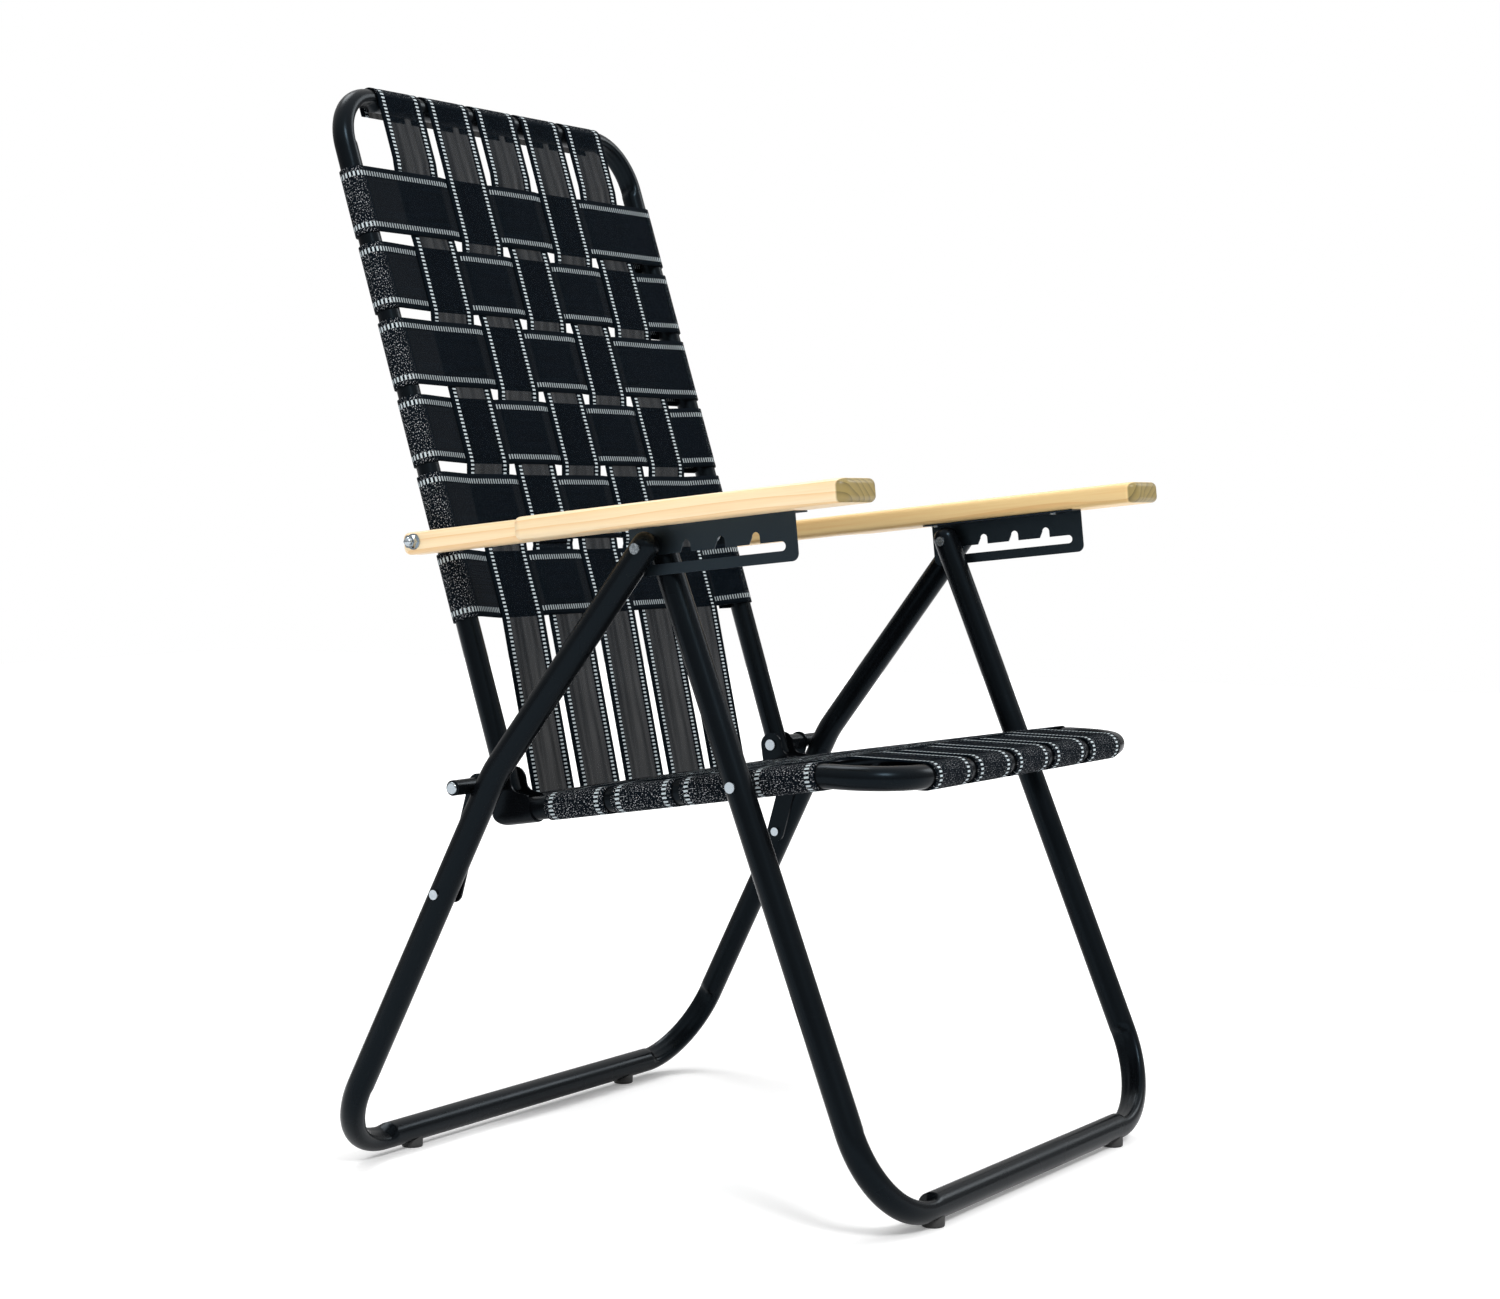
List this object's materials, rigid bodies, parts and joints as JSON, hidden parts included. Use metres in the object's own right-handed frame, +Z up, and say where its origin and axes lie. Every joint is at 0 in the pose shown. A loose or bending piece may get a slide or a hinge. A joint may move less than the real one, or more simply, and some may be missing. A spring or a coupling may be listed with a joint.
{
  "type": "folding lounge chair",
  "caption": "Folding high-back lounge chair with woven black webbing on black bent-tube frames, wooden arms, and slotted arm brackets for reclining",
  "frame": {"origin": "middle of the chair's footprint on the floor, under the middle of its bounding box", "axes": "+Z up, -Y is the front of the chair (the way the sitter faces), +X is the sitter's left"},
  "size_m": [0.5624, 0.5642, 0.8971],
  "materials": {
    "black_coat": "glossy black powder coat on bent steel tube and sheet",
    "zinc": "bright zinc-plated rivets, bolts, nuts and screws",
    "webbing": "flat woven plastic webbing, black with a pale grey dashed stripe near each edge, slightly see-through",
    "arm_wood": "clear satin varnish on pale knotty softwood",
    "foot_plastic": "dull black moulded plastic"
  },
  "bodies": {
    "front_legs": {"front_leg_frame": "black_coat", "front_feet": "foot_plastic", "seat_rivets": "zinc", "seat_spacers": "black_coat"},
    "rear_legs": {"rear_leg_frame": "black_coat", "rear_feet": "foot_plastic", "link_outer_rivets": "zinc"},
    "seat": {"seat_frame": "black_coat", "seat_rear_tube": "black_coat", "left_clip_bracket": "black_coat", "right_clip_bracket": "black_coat", "seat_strap_1": "webbing", "seat_strap_2": "webbing", "seat_strap_3": "webbing", "seat_strap_4": "webbing", "seat_strap_5": "webbing", "seat_cross_strap_1": "webbing", "seat_cross_strap_2": "webbing", "seat_cross_strap_3": "webbing", "seat_cross_strap_4": "webbing"},
    "hinge_bolts": {"pivot_bolts": "zinc", "pivot_spacers": "black_coat", "pivot_rollers": "black_coat", "pivot_end_caps": "zinc"},
    "left_link": {"left_link": "black_coat", "left_link_rivet_head": "zinc"},
    "right_link": {"right_link": "black_coat", "right_link_rivet_head": "zinc"},
    "back": {"back_frame": "black_coat", "back_strap_1": "webbing", "back_strap_2": "webbing", "back_strap_3": "webbing", "back_strap_4": "webbing", "back_strap_5": "webbing", "back_row_1": "webbing", "back_row_2": "webbing", "back_row_3": "webbing", "back_row_4": "webbing", "back_row_5": "webbing", "back_row_6": "webbing", "arm_bolt_heads": "zinc", "arm_spacers": "black_coat"},
    "top_pins": {"front_top_pins": "zinc", "rear_top_pins": "zinc"},
    "left_arm": {"left_arm": "arm_wood", "left_slotted_bracket": "black_coat", "left_bracket_screws": "zinc", "left_arm_bolt_end": "zinc", "left_arm_washer": "zinc", "left_arm_cap_nut": "zinc"},
    "right_arm": {"right_arm": "arm_wood", "right_slotted_bracket": "black_coat", "right_bracket_screws": "zinc", "right_arm_bolt_end": "zinc", "right_arm_washer": "zinc", "right_arm_cap_nut": "zinc"}
  },
  "joints": [
    {"name": "fold", "type": "hinge", "parent": "front_legs", "child": "seat", "pos_m": [0, -0.14346, 0.334], "axis": [-1, 0, 0], "range_deg": [0, 71]},
    {"name": "rear_leg_fold", "type": "hinge", "parent": "front_legs", "child": "rear_legs", "pos_m": [0, -0.07175, 0.513], "axis": [-1, 0, 0], "range_deg": [0, 44.02]},
    {"name": "hinge_bolt_turn", "type": "hinge", "parent": "seat", "child": "hinge_bolts", "pos_m": [0, 0.09375, 0.324], "axis": [-1, 0, 0], "range_deg": [-68.56, 0]},
    {"name": "recline", "type": "hinge", "parent": "hinge_bolts", "child": "back", "pos_m": [0, 0.09375, 0.324], "axis": [-1, 0, 0], "range_deg": [0, 30]},
    {"name": "top_pin_turn", "type": "hinge", "parent": "front_legs", "child": "top_pins", "pos_m": [0, -0.07175, 0.513], "axis": [-1, 0, 0], "range_deg": [0, 74.21]},
    {"name": "left_arm_shift", "type": "hinge", "parent": "top_pins", "child": "left_arm", "pos_m": [0.2495, -0.18085, -0.10686], "axis": [-1, 0, 0], "range_deg": [0, 8.48]},
    {"name": "right_arm_shift", "type": "hinge", "parent": "top_pins", "child": "right_arm", "pos_m": [-0.2495, -0.18085, -0.10686], "axis": [-1, 0, 0], "range_deg": [0, 8.48]},
    {"name": "left_link_turn", "type": "hinge", "parent": "seat", "child": "left_link", "pos_m": [0.2464, 0.09375, 0.324], "axis": [-1, 0, 0], "range_deg": [0, 91.56]},
    {"name": "right_link_turn", "type": "hinge", "parent": "seat", "child": "right_link", "pos_m": [-0.2464, 0.09375, 0.324], "axis": [-1, 0, 0], "range_deg": [0, 91.56]}
  ],
  "couplings": [
    {"joint": "rear_leg_fold", "follows": "fold", "ratio": 0.61935},
    {"joint": "hinge_bolt_turn", "follows": "fold", "ratio": -0.96494},
    {"joint": "top_pin_turn", "follows": "fold", "ratio": 1.0449},
    {"joint": "left_link_turn", "follows": "fold", "ratio": 1.2889},
    {"joint": "right_link_turn", "follows": "fold", "ratio": 1.2889},
    {"joint": "left_arm_shift", "follows": "recline", "ratio": 0.28233},
    {"joint": "right_arm_shift", "follows": "recline", "ratio": 0.28233}
  ]
}
